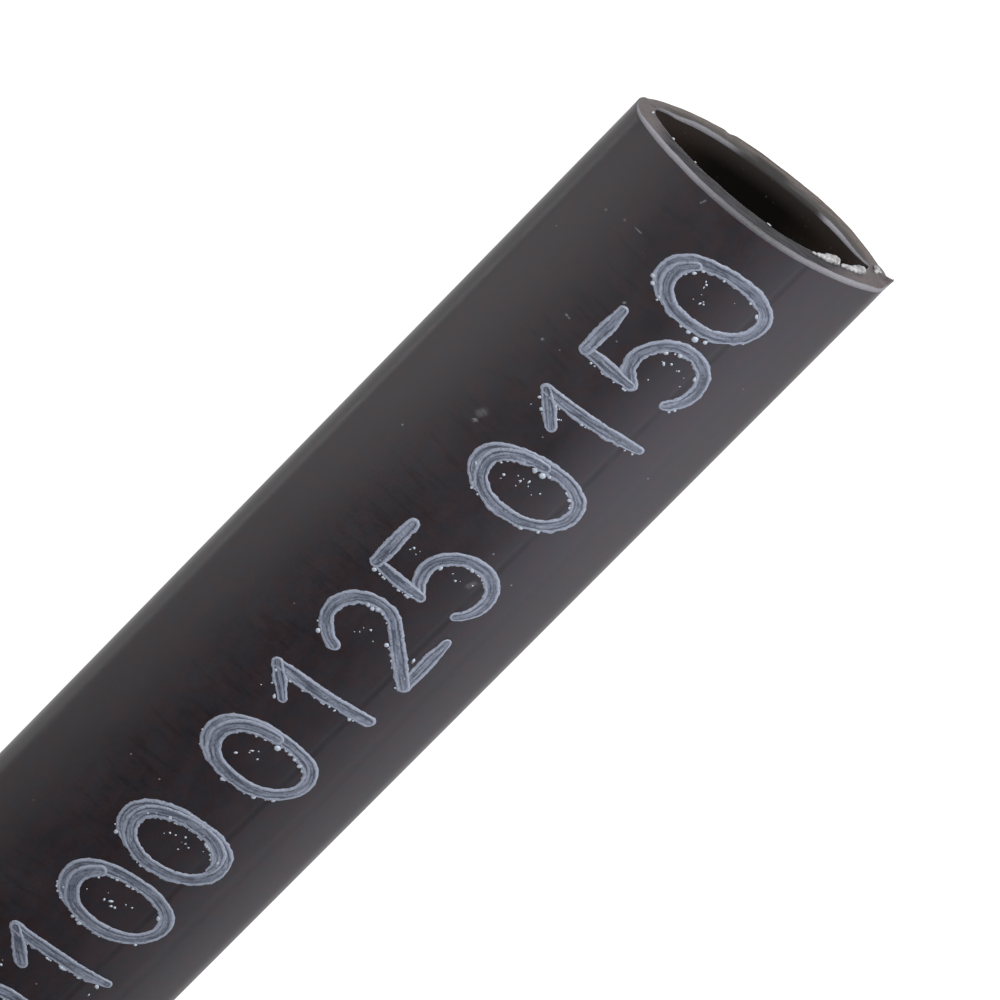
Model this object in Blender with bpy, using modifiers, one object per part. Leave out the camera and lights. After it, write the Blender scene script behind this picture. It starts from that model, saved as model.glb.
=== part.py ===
"""A cut length of heat shrink tube, flattened as it comes off the reel and lying on its back.

The tube runs along X and is cut square at both ends. Its wide side lies along Y and
its narrow side stands along Z, with the lowest line of the wall on the floor at Z = 0.
All lengths are in metres.
"""

import math

import bpy

# The length of a cut piece as it is sold, six inches.
LENGTH = 0.1524
# The round bore that the tube has as supplied, before it is flattened or shrunk.
ROUND_BORE = 0.0102
# The wall as supplied, the same all the way round.
WALL = 0.0013
# How far the crown of the upper side stands above the line through the two folds.
CROWN_RISE = 0.0036
# How far the belly of the lower side hangs below that line.
BELLY_DROP = 0.0035
# The radius inside each fold, where the two broad sides of the wall meet.
FOLD_RADIUS = 0.00025
# The radius that the cut leaves on the inner and outer edges of each end.
EDGE_RADIUS = 0.00018
# The number of facets along a broad side: odd, so that one lies flat on the floor.
BROAD_FACETS = 33
# The number of facets round each half of a fold.
FOLD_FACETS = 6
# The number of facets across a rounded cut edge.
EDGE_FACETS = 2


def clear_scene():
    for obj in list(bpy.data.objects):
        bpy.data.objects.remove(obj)


def broad_arc(half_width, rise, fold):
    """Radius and half angle of the arc that rises from a fold on one side to a fold on the other."""
    reach = half_width - fold
    radius = (reach ** 2 + rise ** 2 - fold ** 2) / (2 * (rise - fold))
    return radius, math.atan2(reach, radius - rise)


def perimeter(half_width, rises, fold):
    """The length of the middle line of the wall round the whole section."""
    total = 0.0
    for rise in rises:
        radius, half_angle = broad_arc(half_width, rise, fold)
        total += 2 * radius * half_angle
        total += 2 * fold * (math.pi / 2 - half_angle)
    return total


def width_that_keeps(wanted, rises, fold):
    """Half the width at which the flattened middle line is as long as the round one was."""
    low = max(rises)
    high = wanted / 2
    for _ in range(60):
        middle = (low + high) / 2
        if perimeter(middle, rises, fold) < wanted:
            low = middle
        else:
            high = middle
    return (low + high) / 2


def half_outline(half_width, rise, fold):
    """Points of one broad side and of the half folds beside it, from -Y to +Y, above the folds."""
    radius, half_angle = broad_arc(half_width, rise, fold)
    turn = math.pi / 2 - half_angle
    points = []
    for step in range(FOLD_FACETS):
        angle = turn * step / FOLD_FACETS
        points.append((-(half_width - fold) - fold * math.cos(angle), fold * math.sin(angle)))
    for step in range(BROAD_FACETS + 1):
        angle = half_angle * (2 * step / BROAD_FACETS - 1)
        points.append((radius * math.sin(angle), rise - radius + radius * math.cos(angle)))
    for step in range(FOLD_FACETS - 1, 0, -1):
        angle = turn * step / FOLD_FACETS
        points.append((half_width - fold + fold * math.cos(angle), fold * math.sin(angle)))
    return points


def middle_line():
    """The closed middle line of the flattened wall, in Y and Z, half a wall above the floor."""
    crown = CROWN_RISE - WALL / 2
    belly = BELLY_DROP - WALL / 2
    fold = FOLD_RADIUS + WALL / 2
    half_width = width_that_keeps(math.pi * (ROUND_BORE + WALL), (crown, belly), fold)
    upper = half_outline(half_width, crown, fold)
    lower = [(-y, -z) for y, z in half_outline(half_width, belly, fold)]
    lift = WALL / 2 - min(z for _, z in lower)
    return [(y, z + lift) for y, z in upper + lower]


def drawn_section(collection):
    """The middle line of the wall as a flat closed curve, extruded to the tube's length."""
    curve = bpy.data.curves.new("middle_line", "CURVE")
    curve.dimensions = "2D"
    curve.fill_mode = "NONE"
    curve.extrude = LENGTH / 2
    points = middle_line()
    spline = curve.splines.new("POLY")
    spline.points.add(len(points) - 1)
    for point, (y, z) in zip(spline.points, points):
        point.co = (y, z, 0, 1)
    spline.use_cyclic_u = True
    guide = bpy.data.objects.new("middle_line", curve)
    # The curve is drawn in its own XY plane: this turns it to face along the tube.
    guide.rotation_euler = (math.pi / 2, 0, math.pi / 2)
    guide.hide_render = True
    guide.display_type = "WIRE"
    collection.objects.link(guide)
    return guide


def tube_material():
    material = bpy.data.materials.new("black_polyolefin")
    material.use_nodes = True
    shader = material.node_tree.nodes["Principled BSDF"]
    shader.inputs["Base Color"].default_value = (0.022, 0.021, 0.023, 1)
    shader.inputs["Roughness"].default_value = 0.42
    return material


def tube(collection, guide):
    """The wall: the guide's surface, thickened both ways, with its cut edges rounded."""
    bpy.context.view_layer.update()
    graph = bpy.context.evaluated_depsgraph_get()
    mesh = bpy.data.meshes.new_from_object(guide.evaluated_get(graph))
    mesh.name = "heat_shrink_tube"
    mesh.transform(guide.matrix_world)
    mesh.materials.clear()
    mesh.materials.append(tube_material())
    mesh.shade_smooth()
    obj = bpy.data.objects.new("heat_shrink_tube", mesh)
    collection.objects.link(obj)
    weld = obj.modifiers.new("weld", "WELD")
    weld.merge_threshold = 0.00001
    wall = obj.modifiers.new("wall", "SOLIDIFY")
    wall.thickness = WALL
    wall.offset = 0
    wall.use_even_offset = True
    edge = obj.modifiers.new("cut_edges", "BEVEL")
    edge.limit_method = "ANGLE"
    edge.angle_limit = math.radians(60)
    edge.width = EDGE_RADIUS
    edge.segments = EDGE_FACETS
    edge.use_clamp_overlap = False
    edge.harden_normals = True
    return obj


def main():
    clear_scene()
    scene = bpy.context.scene
    parts = bpy.data.collections.new("heat_shrink_tube")
    guides = bpy.data.collections.new("guides")
    scene.collection.children.link(parts)
    scene.collection.children.link(guides)
    guides.hide_render = True
    tube(parts, drawn_section(guides))


main()
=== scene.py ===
"""The looks of a cut length of black heat shrink tube, lying flattened on a pale floor."""

import math
import random

import bmesh
import bpy
from mathutils import Matrix, Vector, noise


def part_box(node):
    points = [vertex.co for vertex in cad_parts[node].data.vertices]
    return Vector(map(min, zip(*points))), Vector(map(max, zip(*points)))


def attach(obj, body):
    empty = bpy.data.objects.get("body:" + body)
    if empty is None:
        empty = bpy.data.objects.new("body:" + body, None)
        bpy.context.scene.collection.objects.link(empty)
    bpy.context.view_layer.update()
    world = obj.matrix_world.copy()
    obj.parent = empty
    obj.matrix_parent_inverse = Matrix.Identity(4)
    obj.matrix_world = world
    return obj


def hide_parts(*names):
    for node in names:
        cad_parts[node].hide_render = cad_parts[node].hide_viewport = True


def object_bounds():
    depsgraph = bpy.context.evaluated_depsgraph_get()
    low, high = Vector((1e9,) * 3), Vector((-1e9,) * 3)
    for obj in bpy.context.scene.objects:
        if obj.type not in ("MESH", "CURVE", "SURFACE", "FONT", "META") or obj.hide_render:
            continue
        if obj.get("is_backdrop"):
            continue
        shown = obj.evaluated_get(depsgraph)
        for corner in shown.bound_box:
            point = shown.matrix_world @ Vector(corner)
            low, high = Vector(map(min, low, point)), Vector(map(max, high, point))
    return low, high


bl_info = {
    "name": "Heat shrink tube",
    "version": (1, 0, 0),
    "blender": (4, 5, 0),
    "location": "3D View > Sidebar > Tube",
    "description": "Models a flattened length of heat shrink tube with its cut end and printed legend",
    "category": "Add Mesh",
}

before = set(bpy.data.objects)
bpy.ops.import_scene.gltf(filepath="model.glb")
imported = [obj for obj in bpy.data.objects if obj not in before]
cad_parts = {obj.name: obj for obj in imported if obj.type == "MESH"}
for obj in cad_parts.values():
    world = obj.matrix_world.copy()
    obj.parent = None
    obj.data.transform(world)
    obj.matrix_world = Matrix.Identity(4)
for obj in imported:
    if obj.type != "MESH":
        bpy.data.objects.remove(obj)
CAD_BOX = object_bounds()
NODE = "heat_shrink_tube"
LOW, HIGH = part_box(NODE)
LENGTH = HIGH[0] - LOW[0]
HALF_LENGTH = LENGTH / 2
HALF_WIDTH = (HIGH[1] - LOW[1]) / 2
MM = 0.001


class TubeSettings(bpy.types.PropertyGroup):
    """Sizes and colours of the tube's wall."""

    wall: bpy.props.FloatProperty(
        name="Wall", default=1.3 * MM, unit="LENGTH", precision=5,
        description="Thickness of the wall",
    )
    crown_rise: bpy.props.FloatProperty(
        name="Crown rise", default=3.6 * MM, unit="LENGTH", precision=5,
        description="Height of the upper side over the line through the folds",
    )
    belly_drop: bpy.props.FloatProperty(
        name="Belly drop", default=3.5 * MM, unit="LENGTH", precision=5,
        description="Depth of the lower side under the line through the folds",
    )
    fold_radius: bpy.props.FloatProperty(
        name="Fold radius", default=0.25 * MM, unit="LENGTH", precision=5,
        description="Radius inside each fold",
    )
    outer_edge: bpy.props.FloatProperty(
        name="Outer edge", default=0.25 * MM, unit="LENGTH", precision=5,
        description="Rounding of the outer edge of each cut at the crown",
    )
    outer_edge_below: bpy.props.FloatProperty(
        name="Outer edge below", default=0.05 * MM, unit="LENGTH", precision=5,
        description="Rounding of the outer edge of each cut at the folds and the belly",
    )
    inner_edge: bpy.props.FloatProperty(
        name="Inner edge", default=0.19 * MM, unit="LENGTH", precision=5,
        description="Rounding of the inner edge of each cut at the belly",
    )
    cut_waver: bpy.props.FloatProperty(
        name="Cut waver", default=0.09 * MM, unit="LENGTH", precision=5,
        description="How far the cut strays from a plane",
    )
    skin_colour: bpy.props.FloatVectorProperty(
        name="Skin colour", default=(0.0122, 0.0092, 0.0113), subtype="COLOR",
        description="Colour of the outside",
    )
    lining_colour: bpy.props.FloatVectorProperty(
        name="Lining colour", default=(0.0105, 0.0074, 0.0060), subtype="COLOR",
        description="Colour of the bore",
    )
    cut_colour: bpy.props.FloatVectorProperty(
        name="Cut colour", default=(0.034, 0.031, 0.030), subtype="COLOR",
        description="Colour of the cut faces",
    )


class LegendSettings(bpy.types.PropertyGroup):
    """Size, place and colour of the printed legend: a running length in millimetres."""

    step: bpy.props.IntProperty(
        name="Step", default=25, min=25,
        description="Millimetres of tube from one printed length to the next, a multiple of 25",
    )
    mark_gap: bpy.props.FloatProperty(
        name="Mark gap", default=0.50 * MM, unit="LENGTH", precision=5,
        description="Distance from a number's last figure to the length it gives",
    )
    height: bpy.props.FloatProperty(
        name="Height", default=7.45 * MM, unit="LENGTH", precision=5,
        description="Height of a figure",
    )
    width: bpy.props.FloatProperty(
        name="Width", default=5.0 * MM, unit="LENGTH", precision=5,
        description="Width of a figure",
    )
    pitch: bpy.props.FloatProperty(
        name="Pitch", default=5.65 * MM, unit="LENGTH", precision=5,
        description="Distance from one figure to the next",
    )
    stroke: bpy.props.FloatProperty(
        name="Stroke", default=0.92 * MM, unit="LENGTH", precision=5,
        description="Width of a stroke",
    )
    middle: bpy.props.FloatProperty(
        name="Middle", default=-1.25 * MM, unit="LENGTH", precision=5,
        description="Distance from the crown to the middle of the line of print",
    )
    rim_colour: bpy.props.FloatVectorProperty(
        name="Rim colour", default=(0.188, 0.208, 0.258), subtype="COLOR",
        description="Colour of the ink where it is thick",
    )
    film_colour: bpy.props.FloatVectorProperty(
        name="Film colour", default=(0.098, 0.111, 0.144), subtype="COLOR",
        description="Colour of the ink where it is thin",
    )
    bare_colour: bpy.props.FloatVectorProperty(
        name="Bare colour", default=(0.033, 0.038, 0.055), subtype="COLOR",
        description="Colour of the ink where the skin shows through",
    )
    drop_colour: bpy.props.FloatVectorProperty(
        name="Drop colour", default=(0.235, 0.265, 0.31), subtype="COLOR",
        description="Colour of the stray drops of ink",
    )


class StageSettings(bpy.types.PropertyGroup):
    """Camera and light."""

    azimuth: bpy.props.FloatProperty(
        name="Azimuth", default=math.radians(25.83), subtype="ANGLE",
        description="Turn of the camera from the tube's axis",
    )
    elevation: bpy.props.FloatProperty(
        name="Elevation", default=math.radians(55.10), subtype="ANGLE",
        description="Height of the camera as an angle",
    )
    roll: bpy.props.FloatProperty(
        name="Roll", default=math.radians(194.18), subtype="ANGLE",
        description="Turn of the camera about its own axis",
    )
    lens: bpy.props.FloatProperty(
        name="Lens", default=563.9, min=1.0,
        description="Focal length on a 36 mm sensor, in millimetres",
    )
    scale: bpy.props.FloatProperty(
        name="Scale", default=18.17, min=0.1,
        description="Pixels of the picture to a millimetre at the open end",
    )
    end_across: bpy.props.FloatProperty(
        name="End across", default=762.7,
        description="Pixel column where the open end's middle shows",
    )
    end_down: bpy.props.FloatProperty(
        name="End down", default=193.9,
        description="Pixel row where the open end's middle shows",
    )
    front_power: bpy.props.FloatProperty(
        name="Front power", default=5.7, min=0.0,
        description="Power in watts of the soft lamp beyond the open end",
    )
    side_power: bpy.props.FloatProperty(
        name="Side power", default=1.0, min=0.0,
        description="Share of full power of the small lamps that the skin mirrors",
    )
    horizon: bpy.props.FloatProperty(
        name="Horizon", default=1.1, min=0.0,
        description="Brightness of the white band round the table",
    )
    table_glow: bpy.props.FloatProperty(
        name="Table glow", default=1.0, min=0.0,
        description="Brightness of the table by its own light",
    )


def in_object_mode():
    if bpy.context.object and bpy.context.object.mode == "EDIT":
        bpy.ops.object.mode_set(mode="OBJECT")


def start_piece():
    """Leaves edit mode with nothing selected, ready for a new primitive."""
    in_object_mode()
    bpy.ops.object.select_all(action="DESELECT")


def select_only(*pieces):
    start_piece()
    for piece in pieces:
        piece.select_set(True)
    bpy.context.view_layer.objects.active = pieces[-1]


def edit(piece):
    """Opens the piece in edit mode, with nothing in it selected."""
    select_only(piece)
    bpy.ops.object.mode_set(mode="EDIT")
    bpy.ops.mesh.select_mode(type="VERT")
    bpy.ops.mesh.select_all(action="DESELECT")


def pick(piece, kind, wanted):
    """Selects the piece's verts or faces that the test wants."""
    bpy.ops.mesh.select_mode(type={"verts": "VERT", "faces": "FACE"}[kind])
    bpy.ops.mesh.select_all(action="DESELECT")
    shape = bmesh.from_edit_mesh(piece.data)
    shape.normal_update()
    for element in getattr(shape, kind):
        if wanted(element):
            element.select_set(True)
    bmesh.update_edit_mesh(piece.data)


def apply_modifiers(piece):
    select_only(piece)
    for modifier in list(piece.modifiers):
        bpy.ops.object.modifier_apply(modifier=modifier.name)


def dress(piece, name, *materials):
    """Names a finished piece and its mesh, gives it its materials and sets it on the tube's body."""
    piece.name = name
    piece.data.name = name
    if materials:
        piece.data.materials.clear()
    for material in materials:
        piece.data.materials.append(material)
    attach(piece, "root")


class Signal:
    """An output socket of a shader graph that can be written into sums like a number."""

    def __init__(self, graph, socket):
        self.graph = graph
        self.socket = socket

    def __add__(self, other):
        return self.graph.math("ADD", self, other)

    def __sub__(self, other):
        return self.graph.math("SUBTRACT", self, other)

    def __rsub__(self, other):
        return self.graph.math("SUBTRACT", other, self)

    def __mul__(self, other):
        return self.graph.math("MULTIPLY", self, other)

    def __abs__(self):
        return self.graph.math("ABSOLUTE", self)

    def __pow__(self, other):
        return self.graph.math("POWER", self, other)

    __radd__ = __add__
    __rmul__ = __mul__

    def ramp(self, low, high):
        """0 below low and 1 above high, with a smooth step between."""
        return self.graph.add(
            "ShaderNodeMapRange",
            {"interpolation_type": "SMOOTHSTEP"},
            {"Value": self, "From Min": low, "From Max": high},
        )

    def below(self, low, high):
        return 1 - self.ramp(low, high)


class Graph:
    """A shader's node tree, with the node that the values end in."""

    def __init__(self, owner, end="Principled BSDF"):
        owner.use_nodes = True
        self.owner = owner
        self.nodes = owner.node_tree.nodes
        self.links = owner.node_tree.links
        self.shader = self.nodes[end]

    def add(self, kind, settings=None, values=None, output=0):
        """Adds a node of this kind and returns one of its outputs."""
        node = self.nodes.new(kind)
        for name, value in (settings or {}).items():
            setattr(node, name, value)
        for name, value in (values or {}).items():
            self.feed(node.inputs[name], value)
        return Signal(self, node.outputs[output])

    def feed(self, socket, value):
        if isinstance(value, Signal):
            self.links.new(value.socket, socket)
        elif hasattr(socket.default_value, "__len__") and len(socket.default_value) == 4:
            socket.default_value = (*value[:3], 1.0)
        else:
            socket.default_value = value

    def math(self, operation, *values):
        return self.add("ShaderNodeMath", {"operation": operation}, dict(enumerate(values)))

    def stretched(self, vector, stretch, shift=(0, 0, 0)):
        """A vector stretched and shifted for a pattern."""
        values = {"Vector": vector, "Scale": stretch, "Location": shift}
        return self.add("ShaderNodeMapping", {"vector_type": "POINT"}, values)

    def millimetres(self, stretch=(1, 1, 1)):
        """The place on the piece in millimetres, stretched for a pattern."""
        coordinates = self.add("ShaderNodeTexCoord", output="Object")
        return self.stretched(coordinates, [1000 * share for share in stretch])

    def split(self, vector):
        node = self.nodes.new("ShaderNodeSeparateXYZ")
        self.links.new(vector.socket, node.inputs[0])
        return [Signal(self, output) for output in node.outputs]

    def noise(self, vector, scale, detail=2.0, roughness=0.5):
        values = {"Vector": vector, "Scale": scale, "Detail": detail, "Roughness": roughness}
        return self.add("ShaderNodeTexNoise", {}, values)

    def mix(self, share, first, second):
        """The first colour at share 0 and the second at share 1."""
        node = self.nodes.new("ShaderNodeMix")
        node.data_type = "RGBA"
        sockets = {socket.identifier: socket for socket in node.inputs}
        self.feed(sockets["Factor_Float"], share)
        self.feed(sockets["A_Color"], first)
        self.feed(sockets["B_Color"], second)
        found = [output for output in node.outputs if output.identifier == "Result_Color"]
        return Signal(self, found[0])

    def relief(self, height, depth):
        """A bump from a height of 0 to 1 that stands for this depth in metres."""
        bump = self.add("ShaderNodeBump", {}, {"Strength": 1.0, "Distance": depth, "Height": height})
        self.links.new(bump.socket, self.shader.inputs["Normal"])

    def set(self, **values):
        for name, value in values.items():
            self.feed(self.shader.inputs[name.replace("_", " ")], value)
        return self.owner


# Marks on the outside, in millimetres in the tube's own frame: where each starts and ends, half its width
# and how pale it is.
SCUFFS = (
    ((55.7, 3.75), (56.3, 3.50), 0.22, 0.12),
    ((55.25, 3.70), (55.45, 3.52), 0.10, 0.36),
    ((62.05, 4.10), (62.20, 4.05), 0.07, 0.28),
    ((67.30, 2.33), (67.45, 2.25), 0.07, 0.28),
    ((71.12, 5.42), (71.26, 5.36), 0.06, 0.22),
    ((71.34, 4.74), (71.36, 4.26), 0.045, 0.22),
    ((70.70, 6.45), (70.84, 6.41), 0.06, 0.18),
    ((75.30, 3.16), (75.70, 3.04), 0.05, 0.22),
    ((64.33, 4.13), (64.28, 3.80), 0.06, 0.28),
    ((47.30, 1.72), (47.50, 1.68), 0.06, 0.24),
    ((44.05, 2.37), (44.25, 2.33), 0.06, 0.24),
    ((46.20, -2.85), (46.80, -3.05), 0.16, 0.12),
)
# The crease that a fold on the reel left along the upper side, and how it drifts with X.
CREASE_Y = -3.72
CREASE_DRIFT = 0.0075
# A second, fainter line near the fold, and how it drifts with X.
FOLD_LINE_Y = -6.35
FOLD_LINE_DRIFT = 0.012
SCUFF_COLOUR = (0.30, 0.31, 0.33)
SKIN_RELIEF = 0.012 * MM
# The heights, in millimetres, between which the marks of the upper side fade in.
UPPER_SIDE = (3.3, 3.7)


def scuff(x, y, start, end, half_width, paleness):
    """How pale a short mark between two places makes the skin."""
    run = math.hypot(end[0] - start[0], end[1] - start[1])
    way = ((end[0] - start[0]) / run, (end[1] - start[1]) / run)
    along = (x - start[0]) * way[0] + (y - start[1]) * way[1]
    across = (x - start[0]) * -way[1] + (y - start[1]) * way[0]
    inside = along.ramp(-half_width, half_width) * along.below(run - half_width, run + half_width)
    return inside * abs(across).below(half_width * 0.4, half_width * 1.5) * paleness


def skin_material(settings):
    """Satin black outside: soft mottling, the extruder's chatter marks, a crease with painted shade in it
    and painted light beyond it, scuffs and dust.
    """
    graph = Graph(bpy.data.materials.new("satin_skin"))
    place = graph.millimetres()
    x, y, z = graph.split(place)
    upper = z.ramp(*UPPER_SIDE)
    to_end = HALF_LENGTH / MM - x

    mottle = graph.noise(graph.millimetres((0.5, 1, 1)), 0.55, 4.0, 0.6)
    grain = graph.noise(place, 4.5, 3.0, 0.65)
    tint = graph.noise(place, 1.1, 3.0, 0.6)
    chatter_band = y.ramp(0.4, 1.8) * y.below(4.2, 5.8) * upper
    chatter = graph.noise(graph.millimetres((1.9, 0.42, 0.42)), 1.0, 2.0, 0.5)
    chatter = chatter.ramp(0.5, 0.72) * chatter_band

    crease_side = y - (CREASE_Y + to_end * CREASE_DRIFT)
    waver = graph.noise(graph.millimetres((0.12, 0.05, 0.05)), 1.0) - 0.5
    crease_side = crease_side + waver * 0.22
    crease_depth = graph.noise(graph.millimetres((0.5, 0.3, 0.3)), 1.0, 3.0).ramp(0.3, 0.6) * 0.6 + 0.4
    # The crease's dark line is painted shade, laid over its small bump.
    crease = abs(crease_side).below(0.04, 0.30) * upper * crease_depth
    # The skin beyond the crease is lighter: painted light, where the surface turns past the crease.
    beyond = crease_side.below(-0.3, 0.1) * upper
    fold_line = abs(y - (FOLD_LINE_Y + to_end * FOLD_LINE_DRIFT) + waver * 0.3).below(0.05, 0.4) * upper

    cells = {"Vector": place, "Scale": 0.75}
    dust_distance = graph.add("ShaderNodeTexVoronoi", {}, cells, "Distance")
    dust_kind = graph.add("ShaderNodeTexVoronoi", {}, cells, "Color")
    rare = graph.split(dust_kind)[0].ramp(0.62, 0.66)
    dust = dust_distance.below(0.03, 0.055) * rare

    scuffed = sum(scuff(x, y, *mark) for mark in SCUFFS)
    scuffed = scuffed * upper * graph.noise(place, 5.0).ramp(0.22, 0.5)

    tone = (mottle - 0.5) * 1.1 + (grain - 0.5) * 0.6
    warm, cool = (1.12, 0.96, 0.94), (0.88, 1.04, 1.08)
    darker, lighter = [
        graph.mix(
            tint.ramp(0.42, 0.58),
            [share * part * tilt for part, tilt in zip(settings.skin_colour, warm)],
            [share * part * tilt for part, tilt in zip(settings.skin_colour, cool)],
        )
        for share in (0.68, 1.55)
    ]
    # The crease darkens the tone as painted shade, and the skin beyond it lightens as painted light.
    light = tone + 0.45 - crease * 0.5 - chatter * 0.35 + beyond * 0.15
    colour = graph.mix(light, darker, lighter)
    colour = graph.mix(dust * 0.35 + scuffed, colour, SCUFF_COLOUR)
    polish = 0.40 + (mottle - 0.5) * 0.16 + (grain - 0.5) * 0.10 + scuffed * 0.3 + beyond * 0.03
    height = grain * 0.35 + mottle * 0.5 + chatter * 0.35 - crease * 0.9 - fold_line * 0.5
    graph.relief(height, SKIN_RELIEF)
    return graph.set(Base_Color=colour, Roughness=polish, Specular_IOR_Level=0.5)


# Tones of the bore beside the cut, made lighter there as painted light, and of the dust in it.
LIT_BY_THE_CUT_TONE = (0.015, 0.012, 0.011)
LINT = (0.06, 0.06, 0.055)


def lining_material(settings):
    """The bore: darker than the outside, browner towards the folds, with painted light beside the cut and
    faint lines along it.
    """
    graph = Graph(bpy.data.materials.new("dark_lining"))
    place = graph.millimetres()
    x, y, z = graph.split(place)
    lines = graph.noise(graph.millimetres((0.04, 1.6, 1.6)), 1.0, 3.0, 0.6)
    cloud = graph.noise(place, 0.5, 3.0)
    specks = graph.noise(place, 5.0, 2.0).ramp(0.70, 0.76)
    sides = abs(y - 0.1).ramp(2.0, 7.0)
    # Painted light: the bore is lighter within 1.5 mm of the cut, where the light reaches in.
    lit_by_the_cut = (HALF_LENGTH / MM - abs(x)).below(0.0, 1.5) * z.below(3.0, 4.0)
    darker = [0.16 * part for part in settings.lining_colour]
    colour = graph.mix(sides * (0.55 + lines * 0.4 + cloud * 0.5), darker, settings.lining_colour)
    colour = graph.mix(lit_by_the_cut, colour, LIT_BY_THE_CUT_TONE)
    colour = graph.mix(specks * 0.3, colour, LINT)
    graph.relief(lines * 0.7 + cloud * 0.3, 0.02 * MM)
    polish = 0.50 + (cloud - 0.5) * 0.1
    return graph.set(Base_Color=colour, Roughness=polish, Specular_IOR_Level=0.12)


# Tones of the cut faces: over the bore, darkest and lightest, then the belly's layers, the dark streak in
# its middle and the pits.
CROWN_TONES = ((0.004, 0.0036, 0.005), (0.017, 0.016, 0.020))
LAYER_TONE = (0.014, 0.012, 0.012)
STREAK_TONE = (0.004, 0.0036, 0.0036)
PIT_TONE = (0.010, 0.009, 0.010)


def cut_material(settings):
    """The cut faces: matt, bluish over the bore and browner under it, with the drag marks of the blade."""
    graph = Graph(bpy.data.materials.new("cut_face"))
    place = graph.millimetres()
    _, y, z = graph.split(place)
    drag = graph.noise(graph.millimetres((2.0, 0.8, 3.2)), 1.0, 3.0, 0.6)
    pits = graph.noise(place, 5.0, 3.0, 0.65)
    outer = Section(settings, 0.0)
    over_centre = z - outer.belly_centre / MM
    depth = outer.belly / MM - (y * y + over_centre * over_centre) ** 0.5
    lower = z.below(2.6, 3.6)
    over = 1 - lower
    folds = abs(y).ramp(6.7, 7.9) * lower + y.below(-7.2, -4.2) * over + y.ramp(6.2, 7.6) * over
    outer_half = depth.below(0.35, 0.85) * lower
    streak = depth.ramp(0.30, 0.62) * y.ramp(-1.9, -0.9) * y.below(0.5, 1.5) * lower

    layers = graph.noise(graph.millimetres((1, 0.35, 3.6)), 1.0, 3.0, 0.6)
    crown_tone = graph.mix(drag.ramp(0.3, 0.7), *CROWN_TONES)
    inner_tone = [part * 0.72 for part in settings.cut_colour]
    outer_tone = [part * tilt for part, tilt in zip(settings.cut_colour, (1.60, 1.44, 1.36))]
    fold_tone = [part * tilt for part, tilt in zip(settings.cut_colour, (1.75, 1.62, 1.72))]
    belly = graph.mix(outer_half, inner_tone, outer_tone)
    belly = graph.mix(layers.ramp(0.48, 0.66) * 0.5, belly, LAYER_TONE)
    colour = graph.mix(lower, crown_tone, belly)
    colour = graph.mix(folds * 0.85, colour, fold_tone)
    colour = graph.mix(streak * 0.85, colour, STREAK_TONE)
    colour = graph.mix(pits.ramp(0.50, 0.72) * 0.45, colour, PIT_TONE)
    graph.relief(drag * 0.6 + pits * 0.4, 0.05 * MM)
    return graph.set(Base_Color=colour, Roughness=0.62, Specular_IOR_Level=0.24)


# Tones of the edges: hardly smeared, and smeared pale with a painted highlight; then the dark tone of the
# belly's middle, where the painted highlight is left out.
EDGE_TONES = ((0.040, 0.039, 0.043), (0.112, 0.110, 0.122))
DIM_MIDDLE_TONE = (0.016, 0.0145, 0.0145)


def edge_material():
    """The edges of a cut, gone pale brokenly, partly smeared by the blade and partly as a painted
    highlight.
    """
    graph = Graph(bpy.data.materials.new("pale_edge"))
    place = graph.millimetres()
    _, y, z = graph.split(place)
    patches = graph.noise(graph.millimetres((1, 0.7, 1)), 0.9, 3.0, 0.6)
    pits = graph.noise(place, 6.0, 2.0)
    # Dark in the belly's middle, where the painted highlight is left out.
    dim_belly_middle = y.ramp(-4.4, -3.4) * y.below(1.3, 2.9) * z.below(1.8, 2.6)
    # Paler towards the sides, where the painted highlight is brighter.
    bent = abs(y - 0.5).ramp(0.6, 6.2)
    by_the_bore = abs(y).ramp(4.0, 7.0) * z.below(3.4, 3.9)
    strong = 0.12 + bent * 0.80 - by_the_bore * 0.45 + (patches - 0.5) * 0.5 + (pits - 0.5) * 0.4
    colour = graph.mix(strong, *EDGE_TONES)
    colour = graph.mix(dim_belly_middle, colour, DIM_MIDDLE_TONE)
    graph.relief(pits, 0.015 * MM)
    return graph.set(Base_Color=colour, Roughness=0.62 + dim_belly_middle * 0.3, Specular_IOR_Level=0.16)


def between(value, low, high):
    """0 at low, 1 at high and a smooth step between."""
    share = min(1.0, max(0.0, (value - low) / (high - low)))
    return share * share * (3 - 2 * share)


class Section:
    """The tube's section: two broad arcs and two folds that meet smoothly, at a depth in the wall."""

    def __init__(self, settings, depth):
        outer_fold = settings.fold_radius + settings.wall
        self.reach = HALF_WIDTH - outer_fold
        self.fold = outer_fold - depth
        self.fold_height = settings.belly_drop
        self.crown, self.crown_angle = self.broad_arc(settings.crown_rise, outer_fold, depth)
        self.belly, self.belly_angle = self.broad_arc(settings.belly_drop, outer_fold, depth)
        self.crown_centre = settings.belly_drop + settings.crown_rise - depth - self.crown
        self.belly_centre = depth + self.belly

    def broad_arc(self, rise, outer_fold, depth):
        """Radius and half angle of the arc over a rise."""
        radius = (self.reach ** 2 + rise ** 2 - outer_fold ** 2) / (2 * (rise - outer_fold))
        return radius - depth, math.atan2(self.reach, radius - rise)

    def on_crown(self, x, distance, height):
        """The point this far round the crown from its top, at a height over the wall's skin."""
        angle = distance / self.crown
        radius = self.crown + height
        return Vector((x, radius * math.sin(angle), self.crown_centre + radius * math.cos(angle)))


def spin_arc(centre, angle, steps):
    """Sweeps the selected point round a centre in Y and Z, from +Y towards +Z."""
    # The spin tool turns the other way round its axis than the right hand does.
    bpy.ops.mesh.spin(steps=steps, angle=-angle, center=(-HALF_LENGTH, *centre), axis=(1, 0, 0))


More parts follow.
